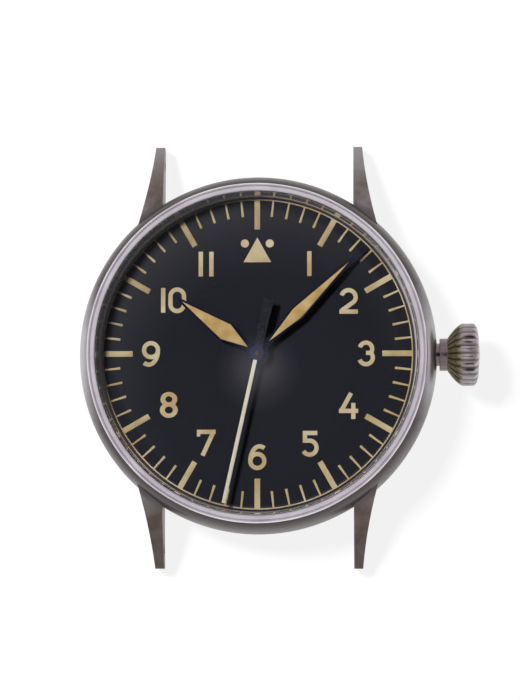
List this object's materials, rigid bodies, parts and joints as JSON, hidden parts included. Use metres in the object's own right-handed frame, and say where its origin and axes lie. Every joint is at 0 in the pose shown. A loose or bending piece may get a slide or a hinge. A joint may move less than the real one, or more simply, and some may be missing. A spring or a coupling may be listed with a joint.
{
  "type": "pilot watch",
  "caption": "Round steel pilot watch head with black dial, kite-shaped hands, onion crown, drilled lugs and a hand-wound lever movement.",
  "frame": {"origin": "centre of the caseback's resting face, on the axis of the hands", "axes": "+Z out through the dial, +Y to twelve o'clock, +X to the crown at three o'clock"},
  "size_m": [0.047, 0.05, 0.0115],
  "materials": {
    "brushed_case": "fine brushed steel with aged patches",
    "polished_steel": "polished steel",
    "crystal": "clear domed crystal",
    "seal": "black seal rubber",
    "dial_black": "matt black lacquer on brass",
    "cream_lume": "aged cream luminous paint",
    "hand_lume": "aged luminous filling",
    "blued_steel": "heat-blued steel",
    "seconds_cream": "cream lacquer",
    "plated_brass": "grained and plated brass",
    "gilt_brass": "gilt brass",
    "movement_steel": "ground steel",
    "ruby": "synthetic ruby"
  },
  "bodies": {
    "case": {"case_middle": "brushed_case", "bezel": "polished_steel", "crystal": "crystal", "crystal_gasket": "seal", "rehaut_ring": "polished_steel", "crown_tube": "polished_steel", "caseback": "brushed_case", "caseback_gasket": "seal", "movement_ring": "plated_brass", "casing_clamps": "movement_steel", "casing_screws": "blued_steel", "dial": "dial_black", "minute_track": "cream_lume", "dial_numerals": "cream_lume", "main_plate": "plated_brass", "barrel_bridge": "plated_brass", "train_bridge": "plated_brass", "balance_cock": "plated_brass", "pallet_bridge": "plated_brass", "bridge_screws": "blued_steel", "jewels": "ruby", "regulator": "movement_steel", "hairspring": "blued_steel", "click_spring": "movement_steel", "setting_lever_spring": "movement_steel"},
    "seconds": {"seconds_wheel": "gilt_brass", "seconds_hand": "seconds_cream", "seconds_hand_tail": "blued_steel"},
    "centre": {"centre_wheel": "gilt_brass", "cannon_pinion": "movement_steel", "minute_hand": "blued_steel", "minute_hand_lume": "hand_lume"},
    "hour": {"hour_wheel": "gilt_brass", "hour_hand": "blued_steel", "hour_hand_lume": "hand_lume"},
    "third": {"third_wheel": "gilt_brass"},
    "minute_wheel": {"minute_wheel": "gilt_brass"},
    "setting_wheel": {"setting_wheel": "movement_steel"},
    "barrel": {"barrel_drum": "gilt_brass", "barrel_cover": "gilt_brass", "mainspring": "movement_steel"},
    "escape": {"escape_wheel": "movement_steel"},
    "fork": {"pallet_fork": "movement_steel", "pallet_stones": "ruby"},
    "balance": {"balance_wheel": "gilt_brass", "balance_roller": "movement_steel"},
    "winding_pinion": {"winding_pinion": "movement_steel"},
    "crown": {"crown": "brushed_case", "winding_stem": "movement_steel", "crown_gasket": "seal"},
    "sliding_pinion": {"sliding_pinion": "movement_steel"},
    "crown_wheel": {"crown_wheel": "movement_steel"},
    "ratchet": {"ratchet_wheel": "movement_steel", "ratchet_screw": "blued_steel", "barrel_arbor": "movement_steel"},
    "click": {"click": "movement_steel"},
    "setting_lever": {"setting_lever": "movement_steel"},
    "yoke": {"yoke": "movement_steel"}
  },
  "joints": [
    {"name": "seconds_turn", "type": "hinge", "parent": "case", "child": "seconds", "pos_m": [0, 0, 0.005], "axis": [0, 0, -1], "continuous": true},
    {"name": "minute_hand_turn", "type": "hinge", "parent": "case", "child": "centre", "pos_m": [0, 0, 0.005], "axis": [0, 0, -1], "continuous": true},
    {"name": "hour_hand_turn", "type": "hinge", "parent": "case", "child": "hour", "pos_m": [0, 0, 0.005], "axis": [0, 0, -1], "continuous": true},
    {"name": "third_wheel_turn", "type": "hinge", "parent": "case", "child": "third", "pos_m": [-0.00319, -0.00249, 0.005], "axis": [0, 0, -1], "continuous": true},
    {"name": "minute_wheel_turn", "type": "hinge", "parent": "case", "child": "minute_wheel", "pos_m": [0.0024, 0, 0.005], "axis": [0, 0, -1], "continuous": true},
    {"name": "setting_wheel_turn", "type": "hinge", "parent": "case", "child": "setting_wheel", "pos_m": [0.0052, 0, 0.005], "axis": [0, 0, -1], "continuous": true},
    {"name": "barrel_turn", "type": "hinge", "parent": "case", "child": "barrel", "pos_m": [0, 0.0064, 0.005], "axis": [0, 0, -1], "continuous": true},
    {"name": "escape_wheel_turn", "type": "hinge", "parent": "case", "child": "escape", "pos_m": [0.0007, -0.00399, 0.005], "axis": [0, 0, -1], "continuous": true},
    {"name": "pallet_fork_swing", "type": "hinge", "parent": "case", "child": "fork", "pos_m": [0.00232, -0.00547, 0.005], "axis": [0, 0, -1], "range_deg": [-5, 5]},
    {"name": "balance_swing", "type": "hinge", "parent": "case", "child": "balance", "pos_m": [0.0041, -0.0071, 0.005], "axis": [0, 0, -1], "range_deg": [-270, 270], "stiffness_Nm_per_rad": 0.00000035},
    {"name": "crown_turn", "type": "hinge", "parent": "case", "child": "winding_pinion", "pos_m": [0.0081, 0, 0.0055], "axis": [1, 0, 0], "continuous": true},
    {"name": "crown_pull", "type": "slide", "parent": "winding_pinion", "child": "crown", "axis": [1, 0, 0], "range_m": [0, 0.0012]},
    {"name": "sliding_pinion_shift", "type": "slide", "parent": "winding_pinion", "child": "sliding_pinion", "axis": [-1, 0, 0], "range_m": [0, 0.00096]},
    {"name": "crown_wheel_turn", "type": "hinge", "parent": "case", "child": "crown_wheel", "pos_m": [0.0066, 0, 0.005], "axis": [0, 0, 1], "continuous": true},
    {"name": "ratchet_turn", "type": "hinge", "parent": "case", "child": "ratchet", "pos_m": [0, 0.0064, 0.005], "axis": [0, 0, 1], "continuous": true},
    {"name": "click_lift", "type": "hinge", "parent": "case", "child": "click", "pos_m": [-0.00643, 0.0034, 0.0021], "axis": [0, 0, 1], "range_deg": [-10, 0], "stiffness_Nm_per_rad": 0.00002},
    {"name": "setting_lever_turn", "type": "hinge", "parent": "case", "child": "setting_lever", "pos_m": [0.0113, 0.003, 0.005], "axis": [0, 0, 1], "range_deg": [0, 22.62]},
    {"name": "yoke_turn", "type": "hinge", "parent": "case", "child": "yoke", "pos_m": [0.00688, -0.003, 0.005], "axis": [0, 0, 1], "range_deg": [0, 18.18]}
  ],
  "couplings": [
    {"joint": "third_wheel_turn", "follows": "seconds_turn", "ratio": -0.13333},
    {"joint": "minute_hand_turn", "follows": "seconds_turn", "ratio": 0.016667},
    {"joint": "hour_hand_turn", "follows": "seconds_turn", "ratio": 0.0013889},
    {"joint": "minute_wheel_turn", "follows": "seconds_turn", "ratio": -0.0055556},
    {"joint": "setting_wheel_turn", "follows": "seconds_turn", "ratio": 0.01},
    {"joint": "barrel_turn", "follows": "seconds_turn", "ratio": -0.0020833},
    {"joint": "escape_wheel_turn", "follows": "seconds_turn", "ratio": -12},
    {"joint": "crown_wheel_turn", "follows": "crown_turn", "ratio": 0.61905},
    {"joint": "ratchet_turn", "follows": "crown_turn", "ratio": -0.39796},
    {"joint": "sliding_pinion_shift", "follows": "crown_pull", "ratio": 0.8},
    {"joint": "setting_lever_turn", "follows": "crown_pull", "rad_per_m": 328.96},
    {"joint": "yoke_turn", "follows": "crown_pull", "rad_per_m": 264.4}
  ]
}
